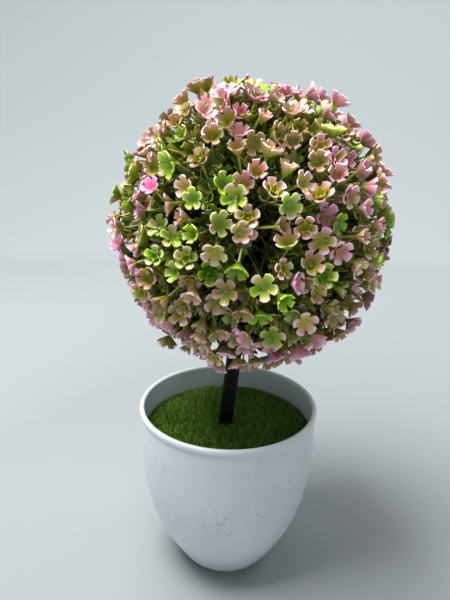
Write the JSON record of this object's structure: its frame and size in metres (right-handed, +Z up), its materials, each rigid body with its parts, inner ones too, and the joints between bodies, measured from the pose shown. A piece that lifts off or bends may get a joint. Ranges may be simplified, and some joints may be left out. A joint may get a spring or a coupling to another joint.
{
  "type": "artificial tabletop tree",
  "caption": "Small artificial topiary: a ball of moulded pink and green plastic blossom sprigs on a leaning black stem, set in turf in a white rounded pot.",
  "frame": {"origin": "centre of the pot's foot, on the surface it stands on", "axes": "+Z up along the pot's axis; the stem leans towards +X, so the ball's centre is a little to +X; -Y is the side with the parting in the blossom"},
  "size_m": [0.1372, 0.135, 0.2545],
  "materials": {
    "pot": "injection-moulded white melamine-look plastic, satin gloss",
    "plaster": "poured plaster, matt and slightly porous",
    "foam": "expanded polystyrene, matt beads",
    "turf_cloth": "woven backing cloth of artificial turf",
    "turf": "short dense artificial turf pile",
    "stem": "extruded black plastic tube, matt",
    "core": "moulded black plastic, semi-gloss",
    "stalk": "moulded olive green polyethylene, slight sheen",
    "petal": "moulded soft polyethylene, dusty pink tips fading to yellow-green, slight sheen"
  },
  "bodies": {
    "root": {"pot": "pot", "ballast": "plaster", "foam_plug": "foam", "turf_backing": "turf_cloth", "turf_pile": "turf", "stem": "stem", "core_lower": "core", "core_upper": "core", "sprig_01_stalk": "stalk", "sprig_01_blossoms": "petal", "sprig_02_stalk": "stalk", "sprig_02_blossoms": "petal", "sprig_03_stalk": "stalk", "sprig_03_blossoms": "petal", "sprig_04_stalk": "stalk", "sprig_04_blossoms": "petal", "sprig_05_stalk": "stalk", "sprig_05_blossoms": "petal", "sprig_06_stalk": "stalk", "sprig_06_blossoms": "petal", "sprig_07_stalk": "stalk", "sprig_07_blossoms": "petal", "sprig_08_stalk": "stalk", "sprig_08_blossoms": "petal", "sprig_09_stalk": "stalk", "sprig_09_blossoms": "petal", "sprig_10_stalk": "stalk", "sprig_10_blossoms": "petal", "sprig_11_stalk": "stalk", "sprig_11_blossoms": "petal", "sprig_12_stalk": "stalk", "sprig_12_blossoms": "petal", "sprig_13_stalk": "stalk", "sprig_13_blossoms": "petal", "sprig_14_stalk": "stalk", "sprig_14_blossoms": "petal", "sprig_15_stalk": "stalk", "sprig_15_blossoms": "petal", "sprig_16_stalk": "stalk", "sprig_16_blossoms": "petal", "sprig_17_stalk": "stalk", "sprig_17_blossoms": "petal", "sprig_18_stalk": "stalk", "sprig_18_blossoms": "petal", "sprig_19_stalk": "stalk", "sprig_19_blossoms": "petal", "sprig_20_stalk": "stalk", "sprig_20_blossoms": "petal", "sprig_21_stalk": "stalk", "sprig_21_blossoms": "petal", "sprig_22_stalk": "stalk", "sprig_22_blossoms": "petal", "sprig_23_stalk": "stalk", "sprig_23_blossoms": "petal", "sprig_24_stalk": "stalk", "sprig_24_blossoms": "petal"}
  },
  "joints": []
}
